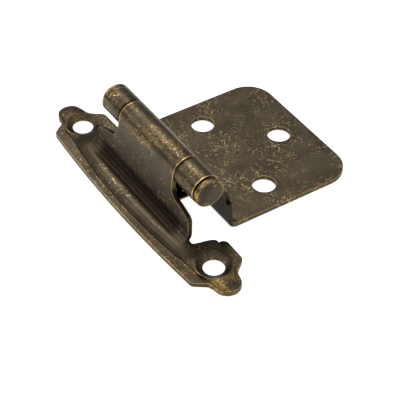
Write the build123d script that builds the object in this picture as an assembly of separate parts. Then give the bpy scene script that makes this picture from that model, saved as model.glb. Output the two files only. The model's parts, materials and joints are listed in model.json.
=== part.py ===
from build123d import *
import os
from math import atan, cos, degrees, radians, sin, tan

# Millimetres. X runs from the frame wing to the door plate, Y along the pin, Z away from the cabinet.
# The shapes are drawn with the back of the frame wing on z = 0. At the end they move down, so that the
# origin is midway between the two screw holes of the wing, at the height of their lands.

# sheet and pin
sheet = 1.05
pin_radius = 2.35
pin_play = 0.05
pin_x = 3.8
pin_z = 13.9
bend_inside = 0.55

# knuckles
knuckle_inside = pin_radius + pin_play
knuckle_middle = knuckle_inside + sheet / 2
knuckle_outside = knuckle_inside + sheet
middle_knuckle_half = 10.95
knuckle_gap = 0.15
end_knuckle_outer = 18.05

# frame wing
screw_half_spacing = 26.95
wing_half = 35.05
wing_left_bow = 7.62
wing_corner_left = (-6.45, 28.35)
wing_neck_left = (-3.6, 30.4)
finial_left = (-3.1, 31.75)
finial_tip_x = -0.1
finial_right = (2.9, 31.75)
wing_neck_right = (3.8, 30.2)
wing_corner_right = (6.47, 28.12)
wing_right_bow = 6.8
corner_round = 1.4
neck_round = 1.0
notch_left = -1.0
notch_inner_half = 20.3
notch_outer_half = 21.4
notch_outer_x = 4.9
notch_inner_round = 0.5
notch_outer_round = 1.3

# raised body of the wing: distance from the middle, left foot, right foot, height of the crest
raised_foot = 0.85
crest = 2.85
raised_stations = [
    (0.0, -6.2, 4.8, crest),
    (10.0, -5.95, 4.8, crest),
    (19.2, -5.1, 4.85, crest),
    (21.2, -4.8, 4.85, 2.45),
    (23.3, -4.6, 4.6, 1.95),
    (25.5, -4.4, 4.2, 1.9),
    (28.6, -3.9, 3.75, 1.9),
    (30.6, -3.25, 3.35, 1.93),
    (32.2, -3.1, 3.0, 1.88),
    (33.8, -2.75, 2.55, 1.65),
    (35.3, -1.9, 1.7, 1.2),
]
raised_sections = 18
cavity_stations = [
    (0.0, -4.9, 4.0, 1.9),
    (20.0, -3.8, 3.9, 1.75),
    (22.4, -2.6, 3.0, 1.0),
]
finial_hollow = (1.7, 1.0, 0.8)
finial_hollow_y = 32.2

# countersunk frame screw holes
countersink_rim = 3.9
countersink_rim_z = 1.88
countersink_hole = 2.35
countersink_neck_z = 0.95
countersink_land = 0.2
countersink_relief = 1.1
boss_radius = 4.15
boss_top_z = 1.75

# web of the frame leaf
web_lean = 0.15
web_half = 19.0
web_half_top = 18.15
root_inside = 2.0
root_run = 0.12
root_sink = 0.03
shoulder_z = 7.5
shoulder_inner_half = 14.6
shoulder_inner_z = 8.55
web_neck_z = 9.25
shoulder_fillet = 2.6
shoulder_round = 1.6
frame_curl_end = -133.0

# door leaf
plate_bottom = 0.7
plate_half = 19.15
plate_right = 42.5
plate_corner = 6.2
plate_bend_inside = 1.5
door_web_offset = 5.55
door_web_x = pin_x + door_web_offset
door_lean_drop = 5.0
door_lean_z = pin_z - door_lean_drop
door_lean_round = 2.2
door_curl_end = 324.0
knuckle_root_drop = 6.2
knuckle_root_z = pin_z - knuckle_root_drop
tab_inset = 0.55
tab_half = middle_knuckle_half - tab_inset
tab_gap = 0.15
tab_reach = 1.5
tab_left = pin_x - tab_reach
door_hole = 2.68
door_hole_x = 23.0
door_hole_half_spacing = 12.15
outer_hole_x = 35.65

# hinge pin
head_radius = 3.35
head_gap = 0.5
head_thick = 1.05
head_dome = 0.16
tail_radius = 3.05
tail_thick = 0.6
tail_gap = 0.08
rim_edge = 0.2

# closing spring
spring_thick = 0.5
spring_half = 10.85
spring_fit = 0.02
spring_top_drop = 3.75
spring_top = pin_z - spring_top_drop
spring_bottom_drop = 7.6
spring_bottom = pin_z - spring_bottom_drop
spring_reach = 3.55
spring_right = pin_x + spring_reach
spring_bend = 0.95
pad_bend = 0.9
pad_gap = 0.27
pad_reach = 1.15
pad_left = pin_x - pad_reach


def bent_line(points, radii):
    """Centre line of a bent strip: straight runs joined by arcs of the given radii."""
    edges = []
    start = Vector(*points[0])
    for index, radius in enumerate(radii):
        corner = Vector(*points[index + 1])
        back = (Vector(*points[index]) - corner).normalized()
        ahead = (Vector(*points[index + 2]) - corner).normalized()
        half_angle = radians(back.get_angle(ahead) / 2)
        setback = radius / tan(half_angle)
        middle = corner + (back + ahead).normalized() * (radius / sin(half_angle) - radius)
        edges.append(Line(start, corner + back * setback))
        edges.append(ThreePointArc(corner + back * setback, middle, corner + ahead * setback))
        start = corner + ahead * setback
    edges.append(Line(start, Vector(*points[-1])))
    return edges


def along_y(section, y_from, y_to):
    """Extrude a section drawn in x and z from one y to another."""
    plane = Plane(origin=(0, y_from, 0), x_dir=(1, 0, 0), z_dir=(0, -1, 0))
    return extrude(plane * section, amount=y_from - y_to)


def strip(edges, thick):
    """Flat section of a sheet that follows the centre line."""
    return trace(edges, line_width=thick)


def wing_outline():
    """Plan of the wing: bowed long sides, necked ends with a round finial."""
    edges = []
    for side in (1, -1):
        points = [(x, side * y) for x, y in (
            wing_corner_left, wing_neck_left, finial_left, finial_right,
            wing_neck_right, wing_corner_right)]
        edges.append(Line(points[0], points[1]))
        edges.append(Line(points[1], points[2]))
        edges.append(ThreePointArc(points[2], (finial_tip_x, side * wing_half), points[3]))
        edges.append(Line(points[3], points[4]))
        edges.append(Line(points[4], points[5]))
    left, right = wing_corner_left, wing_corner_right
    edges.append(ThreePointArc(left, (-wing_left_bow, 0), (left[0], -left[1])))
    edges.append(ThreePointArc(right, (wing_right_bow, 0), (right[0], -right[1])))
    face = make_face(edges)
    face = fillet(near_points(face, wing_corner_left, wing_corner_right), corner_round)
    return fillet(near_points(face, wing_neck_left, wing_neck_right), neck_round)


def near_points(face, *points):
    """Corners of a flat face at the given points or at their mirror images across y = 0."""
    return [v for v in face.vertices()
            if any(abs(v.X - x) < 0.02 and abs(abs(v.Y) - y) < 0.02 for x, y in points)]


def web_top():
    """Where the middle line of the web meets the roll, and the angle of that place at the pin."""
    tilt = atan(web_lean)
    x = pin_x - knuckle_middle * cos(tilt)
    z = pin_z + knuckle_middle * sin(tilt)
    return x, z, 180 - degrees(tilt)


def bend_corner():
    """Corner where the middle line of the web meets the level of the ridge's sheet."""
    x, z, angle = web_top()
    level = crest - sheet / 2 - root_sink
    return x - web_lean * (z - level), level


def bend_start():
    """Middle line of the ridge's sheet where the bend up into the web begins."""
    x, level = bend_corner()
    half_angle = radians(45) + atan(web_lean) / 2
    return x - (root_inside + sheet / 2) / tan(half_angle), level


def raised_section(left, right, top, foot):
    """Domed section of the raised body between its two feet."""
    width = right - left
    ease = min(1.0, width / 6.5)
    rise = top - foot
    crest_x = max(bend_start()[0], left + 1.9 * ease)
    return Spline(
        (left, foot),
        (left + 0.25 * ease, foot + 0.50 * rise),
        (left + 0.95 * ease, foot + 0.85 * rise),
        (crest_x, top),
        (left + 0.62 * width, foot + 0.985 * rise),
        (right - 0.95 * ease, foot + 0.82 * rise),
        (right - 0.24 * ease, foot + 0.52 * rise),
        (right, foot),
    )


def between_stations(y):
    """Left foot, right foot and height at a distance from the middle, read off the stations."""
    for near, far in zip(raised_stations, raised_stations[1:]):
        if y <= far[0]:
            share = (y - near[0]) / (far[0] - near[0])
            return tuple(a + share * (b - a) for a, b in zip(near[1:], far[1:]))
    return raised_stations[-1][1:]


def both_ways(stations):
    """Stations of one half, repeated on the other side of the middle."""
    return [(-y, a, b, t) for y, a, b, t in reversed(stations[1:])] + list(stations)


def section_plane(y):
    """Plane across the wing at a given y, drawn in x and z."""
    return Plane(origin=(0, y, 0), x_dir=(1, 0, 0), z_dir=(0, -1, 0))


def raised_body():
    """Loft through the domed sections from one end of the wing to the other."""
    faces = []
    step = raised_stations[-1][0] / raised_sections
    sections = [(k * step, *between_stations(k * step)) for k in range(raised_sections + 1)]
    for y, left, right, top in both_ways(sections):
        over = raised_section(left, right, top, raised_foot)
        floor = 0.3
        sides = Polyline((right, raised_foot), (right, floor), (left, floor), (left, raised_foot))
        faces.append(section_plane(y) * make_face([over, *sides.edges()]))
    return loft(faces)


def cavity():
    """Hollow under the raised body, about one sheet thickness below its top."""
    faces = []
    for y, left, right, top in both_ways(cavity_stations):
        outline = Polyline((left, -1), (left, 0.6 * top), (left + 1.1, top),
                           (right, top), (right, -1), close=True)
        faces.append(section_plane(y) * make_face(outline))
    return loft(faces, ruled=True)


def notch():
    """Opening in the right side of the wing, where the door plate's web stands."""
    half = [(2 * wing_right_bow, notch_outer_half), (notch_outer_x, notch_outer_half),
            (notch_left, notch_inner_half)]
    points = half + [(x, -y) for x, y in reversed(half)]
    face = make_face(Polyline(*points, close=True))
    face = fillet(near_points(face, (notch_left, notch_inner_half)), notch_inner_round)
    return extrude(face, amount=2 * crest, both=True)


def countersinks():
    """Both countersunk screw holes of the wing, flared out again below a short land."""
    up = (Align.CENTER, Align.CENTER, Align.MIN)
    slope = (countersink_rim - countersink_hole) / (countersink_rim_z - countersink_neck_z)
    high = crest - countersink_neck_z
    land_z = countersink_neck_z - countersink_land
    tools = []
    for side in (1, -1):
        place = Pos(0, side * screw_half_spacing, 0)
        above = Cone(countersink_hole, countersink_hole + slope * high, high, align=up)
        tools.append(place * Pos(0, 0, countersink_neck_z) * above)
        tools.append(place * Cylinder(countersink_hole, 2 * crest))
        below = Cone(countersink_hole + countersink_relief, countersink_hole, land_z, align=up)
        tools.append(place * below)
    return tools


def bend_room():
    """Room that the web's bend takes the place of in the raised body."""
    cut_x = bend_start()[0] + 0.85 * (2 * root_inside * root_sink) ** 0.5
    return Pos(cut_x, 0, 0) * Box(2 * wing_right_bow, 2 * web_half, 4 * crest,
                                  align=(Align.MIN, Align.CENTER, Align.CENTER))


def frame_web():
    """Web that rises from the wing and rolls over into the middle knuckle."""
    top_x, top_z, angle = web_top()
    start_x, start_z = bend_start()
    points = [(start_x - root_run, start_z), bend_corner(), (top_x, top_z)]
    rise = strip(bent_line(points, [root_inside + sheet / 2]), sheet)
    roll = strip(CenterArc((pin_x, pin_z), knuckle_middle, angle, frame_curl_end - angle), sheet)
    knuckle = along_y(roll, -middle_knuckle_half, middle_knuckle_half)
    half = [
        (0, -sheet), (web_half, -sheet), (web_half, crest + sheet / 2),
        (web_half_top, shoulder_z), (shoulder_inner_half, shoulder_inner_z),
        (middle_knuckle_half, web_neck_z), (middle_knuckle_half, 2 * pin_z), (0, 2 * pin_z),
    ]
    shape = make_face(Polyline(*half, close=True))
    outer = [v for v in shape.vertices() if abs(v.X - web_half_top) < 0.01]
    shape = fillet(outer, shoulder_round)
    inner = [v for v in shape.vertices()
             if abs(v.X - middle_knuckle_half) < 0.01 and v.Y < pin_z]
    shape = fillet(inner, shoulder_fillet)
    shape = shape + mirror(shape, about=Plane.YZ)
    across = Plane(origin=(0, 0, 0), x_dir=(0, 1, 0), z_dir=(1, 0, 0))
    window = extrude(across * shape, amount=2 * pin_x, both=True)
    return (along_y(rise, -web_half, web_half) & window) + knuckle


def frame_leaf():
    """Stamped wing with its raised body, web and middle knuckle, one folded sheet."""
    outline = wing_outline()
    body = extrude(outline, amount=sheet)
    body += raised_body() & extrude(outline, amount=2 * crest)
    for side in (1, -1):
        body += Pos(0, side * screw_half_spacing, boss_top_z / 2 + 0.1) * Cylinder(
            boss_radius, boss_top_z - 0.2)
    body -= cavity()
    low, high, deep = finial_hollow
    for side in (1, -1):
        body -= Pos(0, side * finial_hollow_y, deep / 2 - 0.01) * Cone(low, high, deep)
    body -= notch()
    body -= bend_room()
    for tool in countersinks():
        body -= tool
    ends = [e for e in body.edges().filter_by(Axis.Z)
            if abs(abs(e.center().Y) - notch_outer_half) < 0.05 and e.center().X > notch_outer_x]
    body = fillet(ends, notch_outer_round)
    return body + frame_web()


def door_hole_tools():
    """Three plain screw holes through the door plate."""
    spots = [(door_hole_x, door_hole_half_spacing), (door_hole_x, -door_hole_half_spacing),
             (outer_hole_x, 0)]
    return [Pos(x, y, plate_bottom) * Cylinder(door_hole, 6) for x, y in spots]


def door_knuckle(side):
    """End knuckle: web leans in and rolls over the pin."""
    reach = Vector(door_web_x - pin_x, door_lean_z - pin_z)
    turn = degrees(atan((door_lean_z - pin_z) / (door_web_x - pin_x)))
    spread = degrees(acos_ratio(knuckle_middle, reach.length))
    start = turn + spread
    tangent = (pin_x + knuckle_middle * cos(radians(start)),
               pin_z + knuckle_middle * sin(radians(start)))
    edges = bent_line([(door_web_x, knuckle_root_z - 0.5), (door_web_x, door_lean_z), tangent],
                      [door_lean_round])
    edges.append(CenterArc((pin_x, pin_z), knuckle_middle, start, door_curl_end - start))
    inner = side * (middle_knuckle_half + knuckle_gap)
    return along_y(strip(edges, sheet), inner, side * end_knuckle_outer)


def acos_ratio(near, far):
    """Angle at the pin between a point and the tangent from it to the roll."""
    return atan((far ** 2 - near ** 2) ** 0.5 / near)


def door_leaf():
    """Door plate, its upright web, two end knuckles and the bent spring tab."""
    middle_z = plate_bottom + sheet / 2
    bend = bend_inside + sheet / 2
    low = bent_line([(plate_right, middle_z), (door_web_x, middle_z), (door_web_x, knuckle_root_z)],
                    [plate_bend_inside + sheet / 2])
    body = along_y(strip(low, sheet), -plate_half, plate_half)
    corners = body.edges().filter_by(Axis.Z).filter_by_position(
        Axis.X, plate_right - 0.1, plate_right + 0.1)
    body = fillet(corners, plate_corner)
    tab_z = pin_z - knuckle_outside - tab_gap - sheet / 2
    tab = bent_line([(door_web_x, knuckle_root_z - 0.5), (door_web_x, tab_z), (tab_left, tab_z)],
                    [bend])
    body += along_y(strip(tab, sheet), -tab_half, tab_half)
    for side in (1, -1):
        body += door_knuckle(side)
    for tool in door_hole_tools():
        body -= tool
    return body


def hinge_pin():
    """Plain pin with a round head at one end and a small spun end at the other."""
    head_back = end_knuckle_outer + head_gap
    tail_back = end_knuckle_outer + tail_gap
    shaft = Pos(0, 0, (tail_back - head_back) / 2) * Cylinder(
        pin_radius, head_back + tail_back + tail_thick)
    inner = head_radius - rim_edge
    head = Pos(0, 0, -head_back - head_thick / 2) * Cylinder(head_radius, head_thick)
    head = chamfer(head.edges().sort_by(Axis.Z)[0], rim_edge)
    head += Pos(0, 0, -head_back - head_thick - head_dome / 2) * Cone(0.4 * inner, inner, head_dome)
    tail = Pos(0, 0, tail_back + tail_thick / 2) * Cylinder(tail_radius, tail_thick)
    tail = chamfer(tail.edges().sort_by(Axis.Z)[-1], rim_edge)
    return Pos(pin_x, 0, pin_z) * Rot(-90, 0, 0) * (shaft + head + tail)


def closing_spring():
    """Flat hairpin spring between the frame web and the tab of the door leaf."""
    tilt = atan(web_lean)
    back_x = pin_x - knuckle_inside / cos(tilt)
    inset = (spring_fit + spring_thick / 2) / cos(tilt)
    bottom_z = spring_bottom + spring_thick / 2
    pad_z = pin_z - knuckle_outside - tab_gap - sheet - pad_gap - spring_thick / 2
    leg_top = (back_x - web_lean * (pin_z - spring_top) + inset, spring_top)
    leg_foot = (back_x - web_lean * (pin_z - bottom_z) + inset, bottom_z)
    points = [leg_top, leg_foot, (spring_right, bottom_z), (spring_right, pad_z), (pad_left, pad_z)]
    edges = bent_line(points, [spring_bend, spring_bend, pad_bend])
    return along_y(strip(edges, spring_thick), -spring_half, spring_half)


to_screw_line = Pos(0, 0, countersink_land / 2 - countersink_neck_z)

os.makedirs("parts", exist_ok=True)
export_step(to_screw_line * frame_leaf(), "parts/frame_leaf.step")
export_step(to_screw_line * door_leaf(), "parts/door_leaf.step")
export_step(to_screw_line * hinge_pin(), "parts/hinge_pin.step")
export_step(to_screw_line * closing_spring(), "parts/closing_spring.step")
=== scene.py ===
import json
from math import cos, radians, sin

import bpy
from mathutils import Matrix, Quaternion, Vector


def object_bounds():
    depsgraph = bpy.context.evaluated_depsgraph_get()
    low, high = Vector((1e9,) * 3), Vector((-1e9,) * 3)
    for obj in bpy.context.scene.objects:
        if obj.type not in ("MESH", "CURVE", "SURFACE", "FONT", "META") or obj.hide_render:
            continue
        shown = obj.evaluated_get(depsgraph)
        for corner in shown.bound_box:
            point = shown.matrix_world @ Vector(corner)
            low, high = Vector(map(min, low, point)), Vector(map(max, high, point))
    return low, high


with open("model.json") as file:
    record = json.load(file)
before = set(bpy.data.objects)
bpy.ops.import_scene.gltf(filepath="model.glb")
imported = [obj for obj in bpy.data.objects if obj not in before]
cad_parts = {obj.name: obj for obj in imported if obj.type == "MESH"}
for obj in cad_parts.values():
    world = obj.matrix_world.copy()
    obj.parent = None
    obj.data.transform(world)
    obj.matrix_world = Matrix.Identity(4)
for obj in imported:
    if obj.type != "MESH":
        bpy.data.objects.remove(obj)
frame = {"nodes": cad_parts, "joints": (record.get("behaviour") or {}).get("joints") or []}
bounds_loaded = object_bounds()

# Frame leaf
# The wing that is screwed to the cabinet, stamped from steel sheet: a raised body between two
# finials, and a web bent up from it to the rolled middle knuckle. It is plated with brass,
# blackened in a bath, tumbled until the high spots rub through, and lacquered.
mm = 0.001
pin_x, _, pin_z = frame["joints"][0]["pos_m"]
wing_back_z = bounds_loaded[0].z


def colour(code):
    """Linear colour of a six-figure sRGB code."""
    parts = [int(code[i:i + 2], 16) / 255 for i in (0, 2, 4)]
    return [p / 12.92 if p <= 0.04045 else ((p + 0.055) / 1.055) ** 2.4 for p in parts] + [1.0]


def node(tree, kind, *feeds, **settings):
    """Add a node. The feeds go to its open inputs in order, the settings by name.

    Each is a value, a socket to link, or a node whose first open output is linked.
    """
    made = tree.nodes.new(kind)
    for name, value in settings.items():
        if hasattr(made, name):
            setattr(made, name, value)
    fed = list(zip([slot for slot in made.inputs if slot.enabled], feeds))
    fed += [(made.inputs[name.replace("_", " ")], value) for name, value in settings.items()
            if not hasattr(made, name)]
    for slot, value in fed:
        if isinstance(value, bpy.types.Node):
            value = next(output for output in value.outputs if output.enabled)
        if isinstance(value, bpy.types.NodeSocket):
            tree.links.new(value, slot)
        else:
            slot.default_value = value
    return made


def blotches(tree, place, size, detail, seed, span, top=1.0):
    """Soft blotches of about the given size, where the noise lies within the span or above it."""
    noise = node(tree, "ShaderNodeTexNoise", noise_dimensions="4D", Vector=place, W=seed,
                 Scale=0.5 / size, Detail=detail, Roughness=0.6)
    return node(tree, "ShaderNodeMapRange", noise, interpolation_type="SMOOTHSTEP",
                From_Min=span[0], From_Max=span[1], To_Max=top)


def scratches(tree, place, length, width, seed, share):
    """Hair scratches, one to a cell of the given length, each in a direction of its own.

    Real ones are finer. These are drawn as wide as they need to be to show at this distance. A
    share above 0 shows more of them, and one below 0 fewer.
    """
    # soft waves bend the cells, so that they don't lie in rows
    waves = node(tree, "ShaderNodeTexNoise", noise_dimensions="4D", Vector=place, W=seed,
                 Scale=0.7 / length, Detail=1.0)
    shift = node(tree, "ShaderNodeVectorMath", waves.outputs["Color"], 0.9 * length,
                 operation="SCALE")
    bent = node(tree, "ShaderNodeVectorMath", place, shift, operation="ADD")
    cells = node(tree, "ShaderNodeTexVoronoi", voronoi_dimensions="4D", Vector=bent, W=seed,
                 Scale=1 / length)
    # a cell's colour is the direction across its scratch, and other noise breaks the line up
    away = node(tree, "ShaderNodeVectorMath", bent, cells.outputs["Position"],
                operation="SUBTRACT")
    across = node(tree, "ShaderNodeVectorMath", cells.outputs["Color"], (0.5, 0.5, 0.5),
                  operation="SUBTRACT")
    across = node(tree, "ShaderNodeVectorMath", across, operation="NORMALIZE")
    offset = node(tree, "ShaderNodeVectorMath", away, across, operation="DOT_PRODUCT")
    offset = node(tree, "ShaderNodeMath", offset, operation="ABSOLUTE")
    line = node(tree, "ShaderNodeMapRange", offset, interpolation_type="SMOOTHSTEP",
                From_Min=width, From_Max=0.3 * width)
    pieces = blotches(tree, place, 0.6 * length, 1.0, seed + 5, (0.56 - share, 0.60 - share))
    return node(tree, "ShaderNodeMath", line, pieces, operation="MULTIPLY")


def round_pin(tree, place, span, top=1.0):
    """Zone by the distance from the pin's axis, from 0 at the span's start to top at its end."""
    away = node(tree, "ShaderNodeVectorMath", place, (pin_x, 0, pin_z), operation="SUBTRACT")
    flat = node(tree, "ShaderNodeVectorMath", away, (1, 0, 1), operation="MULTIPLY")
    distance = node(tree, "ShaderNodeVectorMath", flat, operation="LENGTH")
    return node(tree, "ShaderNodeMapRange", distance, interpolation_type="SMOOTHSTEP",
                From_Min=span[0], From_Max=span[1], To_Max=top)


def along(tree, place, axis, span, top=1.0):
    """Zone along an axis of the hinge, from 0 at the span's start to top at its end."""
    parts = node(tree, "ShaderNodeSeparateXYZ", place)
    return node(tree, "ShaderNodeMapRange", parts.outputs[axis], interpolation_type="SMOOTHSTEP",
                From_Min=span[0], From_Max=span[1], To_Max=top)


def at_both_ends(tree, place, centre_y, span, top=1.0):
    """Zone by the distance along Y from a centre that lies this far out at each end."""
    parts = node(tree, "ShaderNodeSeparateXYZ", place)
    reach = node(tree, "ShaderNodeMath", parts.outputs["Y"], operation="ABSOLUTE")
    offset = node(tree, "ShaderNodeMath", reach, centre_y, operation="SUBTRACT")
    offset = node(tree, "ShaderNodeMath", offset, operation="ABSOLUTE")
    return node(tree, "ShaderNodeMapRange", offset, interpolation_type="SMOOTHSTEP",
                From_Min=span[0], From_Max=span[1], To_Max=top)


# rings round the barrel: how far they reach from the pin, where they lie and how wide they are
ring_reach = (4.5 * mm, 4.2 * mm)
knuckle_rims_y = (10.85 * mm, 17.92 * mm)
knuckle_rim_width = (0.22 * mm, 0.11 * mm)
# the seam ring is painted shade in the gap beside each end of the middle knuckle
seam_shade_y = 11.25 * mm
seam_shade_width = (0.5 * mm, 0.25 * mm)


def rings(tree, place, centre_y, width, top):
    """A band round the barrel at each end."""
    band = at_both_ends(tree, place, centre_y, width, top)
    barrel = round_pin(tree, place, ring_reach)
    return node(tree, "ShaderNodeMath", band, barrel, operation="MULTIPLY")


def blackened_brass(tree, place):
    """Colour of the blackening, uneven over some millimetres and finely grained."""
    tone = blotches(tree, place, 2.5 * mm, 4.0, 0.0, (0.35, 0.65))
    patina = node(tree, "ShaderNodeMix", tone, colour("483F33"), colour("574E3E"),
                  data_type="RGBA")
    fine = blotches(tree, place, 0.16 * mm, 2.0, 2.0, (0.5, 0.75), 0.3)
    return node(tree, "ShaderNodeMix", fine, patina, colour("706040"), data_type="RGBA")


def rubbed_spots(tree, place, rub_zone):
    """High spots that the tumbling rubbed, mottled at 0.2 mm, and more so in a zone's patches."""
    mottle = node(tree, "ShaderNodeTexNoise", noise_dimensions="4D", Vector=place, W=7.0,
                  Scale=0.5 / (0.22 * mm), Detail=5.0, Roughness=0.6)
    patches = blotches(tree, place, 1.6 * mm, 4.0, 13.0, (0.25, 0.7))
    zone = node(tree, "ShaderNodeMath", rub_zone(tree, place), patches, operation="MULTIPLY")
    wear = node(tree, "ShaderNodeMath", mottle, zone, operation="ADD")
    return node(tree, "ShaderNodeMapRange", wear, interpolation_type="SMOOTHSTEP",
                From_Min=0.62, From_Max=0.84)


def scratch_clusters(tree, place, share):
    """Clusters of scratches of four lengths."""
    marks = scratches(tree, place, 2.1 * mm, 0.05 * mm, 1.0, share)
    for length, width, seed in ((1.5, 0.05, 11.0), (1.0, 0.045, 17.0), (0.6, 0.04, 23.0)):
        more = scratches(tree, place, length * mm, width * mm, seed, share)
        marks = node(tree, "ShaderNodeMath", marks, more, operation="MAXIMUM")
    clusters = blotches(tree, place, 4 * mm, 2.0, 3.0, (0.38, 0.60))
    return node(tree, "ShaderNodeMath", marks, clusters, operation="MULTIPLY")


def worn_edges(tree, place, rounded):
    """Edges where the rounded normal turns and the metal stands free, and the knuckles' rims."""
    geometry = node(tree, "ShaderNodeNewGeometry")
    turn = node(tree, "ShaderNodeVectorMath", rounded, geometry.outputs["Normal"],
                operation="DOT_PRODUCT")
    edge = node(tree, "ShaderNodeMapRange", turn, interpolation_type="SMOOTHSTEP",
                From_Min=0.975, From_Max=0.9)
    near_air = node(tree, "ShaderNodeAmbientOcclusion", Distance=1 * mm, samples=6,
                    only_local=True)
    free = node(tree, "ShaderNodeMapRange", near_air.outputs["AO"],
                interpolation_type="SMOOTHSTEP", From_Min=0.7, From_Max=0.85)
    edge = node(tree, "ShaderNodeMath", edge, free, operation="MULTIPLY")
    for rim_y in knuckle_rims_y:
        rim = rings(tree, place, rim_y, knuckle_rim_width, 0.85)
        edge = node(tree, "ShaderNodeMath", edge, rim, operation="MAXIMUM")
    stretches = blotches(tree, place, 0.9 * mm, 3.0, 9.0, (0.25, 0.5))
    return node(tree, "ShaderNodeMath", edge, stretches, operation="MULTIPLY")


def painted_recess_shade(tree, place, blackening_and_shade_zone):
    """Painted shade in hollows and at the knuckles' seams, with a piece's own blackening and shade
    zone.
    """
    open_air = node(tree, "ShaderNodeAmbientOcclusion", Distance=5 * mm, samples=8)
    shade = node(tree, "ShaderNodeMapRange", open_air.outputs["AO"],
                 interpolation_type="SMOOTHSTEP", From_Min=0.7, From_Max=0.25, To_Max=0.85)
    seam = rings(tree, place, seam_shade_y, seam_shade_width, 0.9)
    for dark in (seam, blackening_and_shade_zone(tree, place)):
        shade = node(tree, "ShaderNodeMath", shade, dark, operation="MAXIMUM")
    return shade


def antique_brass(name, rub_zone, blackening_and_shade_zone, scratch_share=0.0):
    """Brass plate, blackened in a bath, tumbled and lacquered.

    The eye sees a dark brown metal with mottled warm patches where the tumbling rubbed it through,
    yellow hair scratches, bright worn edges and almost black recesses of painted shade, all a
    little glossy.
    """
    material = bpy.data.materials.new(name)
    material.use_nodes = True
    tree = material.node_tree
    tree.nodes.clear()
    place = node(tree, "ShaderNodeTexCoord").outputs["Object"]
    rounded = node(tree, "ShaderNodeBevel", Radius=0.25 * mm, samples=8)

    # each layer covers the ones before it, and the last is painted shade in the recesses and seams
    rubbed = rubbed_spots(tree, place, rub_zone)
    marks = scratch_clusters(tree, place, scratch_share)
    worn = worn_edges(tree, place, rounded)
    worn_cover = node(tree, "ShaderNodeMath", worn, 0.9, operation="MULTIPLY")
    shade = painted_recess_shade(tree, place, blackening_and_shade_zone)
    surface = blackened_brass(tree, place)
    for cover, code in ((rubbed, "9A7C48"), (marks, "E2C98C"), (worn_cover, "DDBC6C"),
                        (shade, "20180F")):
        surface = node(tree, "ShaderNodeMix", cover, surface, colour(code), data_type="RGBA")

    # bare brass is smoother than the blackening, and both have shallow dents of half a millimetre
    bare = rubbed
    for bright in (marks, worn):
        bare = node(tree, "ShaderNodeMath", bare, bright, operation="MAXIMUM")
    rough = node(tree, "ShaderNodeMapRange", bare, To_Min=0.40, To_Max=0.30)
    relief = node(tree, "ShaderNodeTexNoise", noise_dimensions="4D", Vector=place, W=4.0,
                  Scale=0.5 / (0.5 * mm), Detail=3.0, Roughness=0.6)
    dents = node(tree, "ShaderNodeBump", Height=relief, Normal=rounded, Strength=0.25,
                 Distance=0.02 * mm)

    # the lacquer is a thin coat that only softens the highlights
    shader = node(tree, "ShaderNodeBsdfPrincipled", Base_Color=surface, Roughness=rough,
                  Normal=dents, Metallic=1.0, Coat_Weight=0.03, Coat_Roughness=0.22)
    node(tree, "ShaderNodeOutputMaterial", shader)
    return material


def finish_node(name, material):
    """Give a CAD piece its finish."""
    piece = frame["nodes"][name]
    piece.data.materials.clear()
    piece.data.materials.append(material)


# where each zone of the finish and of the painted shade starts, and where it is full
knuckle_skin = (4.2 * mm, 3.5 * mm)
knuckle_top_z = (pin_z - 1.5 * mm, pin_z + 0.5 * mm)
flange_z = (wing_back_z + 1.6 * mm, wing_back_z + 1.1 * mm)
finial_y = (29 * mm, 31 * mm)
raised_z = (wing_back_z + 1.2 * mm, wing_back_z + 2.0 * mm)
web_fade_z = (wing_back_z + 18 * mm, wing_back_z + 3 * mm)
raised_x = (-5 * mm, -3 * mm)
web_foot_x = (-4.2 * mm, -3.1 * mm)
web_foot_y = (19 * mm, 14 * mm)
web_foot_z = (wing_back_z + 7.5 * mm, wing_back_z + 4.5 * mm)


def frame_leaf_rub(tree, place):
    """Rubbing of the knuckle's upper side, of the flange and of the two finials."""
    knuckle = node(tree, "ShaderNodeMath", round_pin(tree, place, knuckle_skin, 0.2),
                   along(tree, place, "Z", knuckle_top_z), operation="MULTIPLY")
    flange = along(tree, place, "Z", flange_z, 0.15)
    zone = node(tree, "ShaderNodeMath", knuckle, flange, operation="MAXIMUM")
    finials = at_both_ends(tree, place, 0.0, finial_y, 0.3)
    return node(tree, "ShaderNodeMath", zone, finials, operation="MAXIMUM")


def frame_leaf_painted_shade(tree, place):
    """Painted shade over the raised body and the web, dimming their highlights, and deep at the
    web's foot.
    """
    body = along(tree, place, "Z", raised_z, 0.42)
    for limit in (along(tree, place, "Z", web_fade_z), along(tree, place, "X", raised_x)):
        body = node(tree, "ShaderNodeMath", body, limit, operation="MULTIPLY")
    foot = along(tree, place, "X", web_foot_x, 0.95)
    for limit in (at_both_ends(tree, place, 0.0, web_foot_y),
                  along(tree, place, "Z", web_foot_z)):
        foot = node(tree, "ShaderNodeMath", foot, limit, operation="MULTIPLY")
    return node(tree, "ShaderNodeMath", body, foot, operation="MAXIMUM")


finish_node("frame_leaf", antique_brass("antique_brass_frame_leaf", frame_leaf_rub,
                                        frame_leaf_painted_shade, scratch_share=-0.03))

# Door leaf
# The plate that is screwed to the back of the door, one folded steel sheet: the flat plate, its
# upright web and two knuckles rolled round the ends of the pin. It is plated with the frame leaf.
door_web_x = pin_x + 5.55 * mm
# the painted shade inside the folded web starts here and is full there, across it and below the
# pin
door_web_inside_x = (door_web_x + 0.7 * mm, door_web_x + 0.4 * mm)
door_web_below_z = (pin_z - 2.5 * mm, pin_z - 3.2 * mm)


def door_leaf_rub(tree, place):
    """Rubbing of the two end knuckles."""
    return round_pin(tree, place, knuckle_skin, 0.16)


def door_leaf_painted_shade(tree, place):
    """Painted shade on the inner side of the folded web, below the pin."""
    inside = along(tree, place, "X", door_web_inside_x, 0.85)
    below = along(tree, place, "Z", door_web_below_z)
    return node(tree, "ShaderNodeMath", inside, below, operation="MULTIPLY")


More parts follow.
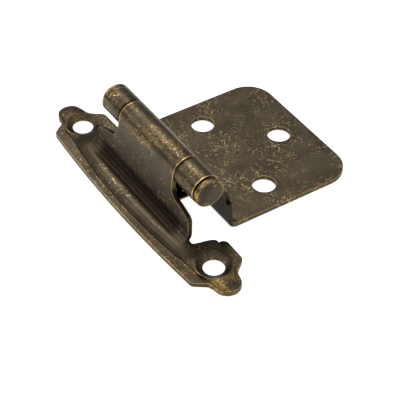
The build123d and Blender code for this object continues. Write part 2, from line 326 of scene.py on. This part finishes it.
finish_node("door_leaf", antique_brass("antique_brass_door_leaf", door_leaf_rub, door_leaf_painted_shade))

# Hinge pin
# A round steel pin with a turned head, pushed through the three knuckles and spun over at its far
# end. It is plated with the leaves, and the rim of its head is rubbed bright.
head_rim = (2.9 * mm, 3.2 * mm)
head_flat = (2.9 * mm, 2.6 * mm)


def pin_rub(tree, place):
    """Rubbing of the rim of the head."""
    return round_pin(tree, place, head_rim, 0.5)


def pin_dark(tree, place):
    """The flat of the head stays blackened."""
    return round_pin(tree, place, head_flat, 0.35)


finish_node("hinge_pin", antique_brass("antique_brass_pin", pin_rub, pin_dark))

# Closing spring
# A strip of flat spring steel, bent like a hairpin and set between the frame leaf's web and the
# tab of the door leaf. It is plated and blackened too, and lies where nothing rubs it.
beyond_the_hinge = (1.0, 2.0)


def nowhere(tree, place):
    """A zone that lies beyond the hinge, for a piece that has none."""
    return round_pin(tree, place, beyond_the_hinge)


finish_node("closing_spring", antique_brass("dark_spring_steel", nowhere, nowhere))

# Floor
# A sheet of smooth white paper that the hinge lies on. The eye sees pure white with a faint soft
# shadow, because the paper glows where the camera looks at it, and less where metal mirrors it.
paper_size = 4.0
paper_gap = 0.5 * mm
paper_glow = 0.9
mirrored_share = 0.42
bpy.ops.mesh.primitive_plane_add(size=paper_size, location=(0, 0, wing_back_z - paper_gap))
floor = bpy.context.object
floor.name = "floor"
floor_material = bpy.data.materials.new("white_paper")
floor_material.use_nodes = True
tree = floor_material.node_tree
tree.nodes.clear()
ray = node(tree, "ShaderNodeLightPath").outputs
mirrored = node(tree, "ShaderNodeMath", ray["Is Glossy Ray"], ray["Is Transmission Ray"],
                operation="MAXIMUM")
mirrored = node(tree, "ShaderNodeMath", mirrored, mirrored_share, operation="MULTIPLY")
seen = node(tree, "ShaderNodeMath", ray["Is Camera Ray"], mirrored, operation="MAXIMUM")
strength = node(tree, "ShaderNodeMath", seen, paper_glow, operation="MULTIPLY")
paper = node(tree, "ShaderNodeBsdfPrincipled", Base_Color=colour("F3F3F3"))
glow = node(tree, "ShaderNodeEmission", Strength=strength)
lit_paper = node(tree, "ShaderNodeAddShader", paper, glow)
node(tree, "ShaderNodeOutputMaterial", lit_paper)
floor.data.materials.append(floor_material)

# Camera
# It looks down on the hinge from the head end of the pin, on the wing's side. Its place, turn and
# lens were worked out from the hinge's own holes and edges in the photo.
camera_azimuth = radians(-33.807)
camera_height = radians(42.415)
camera_roll = radians(0.759)
camera_place = Vector((-0.120898, -0.202042, 0.213207))
camera_back = Vector((
    sin(camera_azimuth) * cos(camera_height),
    -cos(camera_azimuth) * cos(camera_height),
    sin(camera_height),
))
camera_data = bpy.data.cameras.new("camera")
camera_data.sensor_width = 36.0
camera_data.lens = 131.51
camera_data.clip_start = 0.01
camera_data.clip_end = 20.0
camera = bpy.data.objects.new("camera", camera_data)
camera.location = camera_place
camera.rotation_mode = "QUATERNION"
level_turn = (-camera_back).to_track_quat("-Z", "Y")
camera.rotation_quaternion = level_turn @ Quaternion((0, 0, 1), camera_roll)
bpy.context.collection.objects.link(camera)
bpy.context.scene.camera = camera

# Light
# Three square softboxes aimed at the hinge, from behind and above, from the left and from the
# front, and a white room that is dim at the sides and bright overhead.
lamp_target = Vector((0.01, 0, 0))


def softbox(name, place, side, power):
    """Square area lamp aimed at the hinge."""
    data = bpy.data.lights.new(name, "AREA")
    data.shape = "SQUARE"
    data.size = side
    data.energy = power
    lamp = bpy.data.objects.new(name, data)
    lamp.location = place
    lamp.rotation_mode = "QUATERNION"
    lamp.rotation_quaternion = (lamp_target - Vector(place)).to_track_quat("-Z", "Y")
    bpy.context.collection.objects.link(lamp)


softbox("overhead_softbox", (0.08, 0.56, 0.78), side=0.4, power=2.0)
softbox("left_softbox", (-0.6, 0.6, 0.5), side=0.4, power=1.0)
softbox("front_softbox", (-0.1, -0.7, 0.6), side=0.5, power=1.2)
world = bpy.data.worlds.new("studio")
bpy.context.scene.world = world
world.use_nodes = True
tree = world.node_tree
tree.nodes.clear()
direction = node(tree, "ShaderNodeTexCoord").outputs["Generated"]
height = node(tree, "ShaderNodeSeparateXYZ", direction).outputs["Z"]
brightness = node(tree, "ShaderNodeMapRange", height, interpolation_type="SMOOTHSTEP",
                  From_Min=0.15, From_Max=0.75, To_Min=0.05, To_Max=0.8)
room = node(tree, "ShaderNodeBackground", colour("FFFFFF"), brightness)
node(tree, "ShaderNodeOutputWorld", room)
bpy.context.scene.view_settings.view_transform = "Standard"
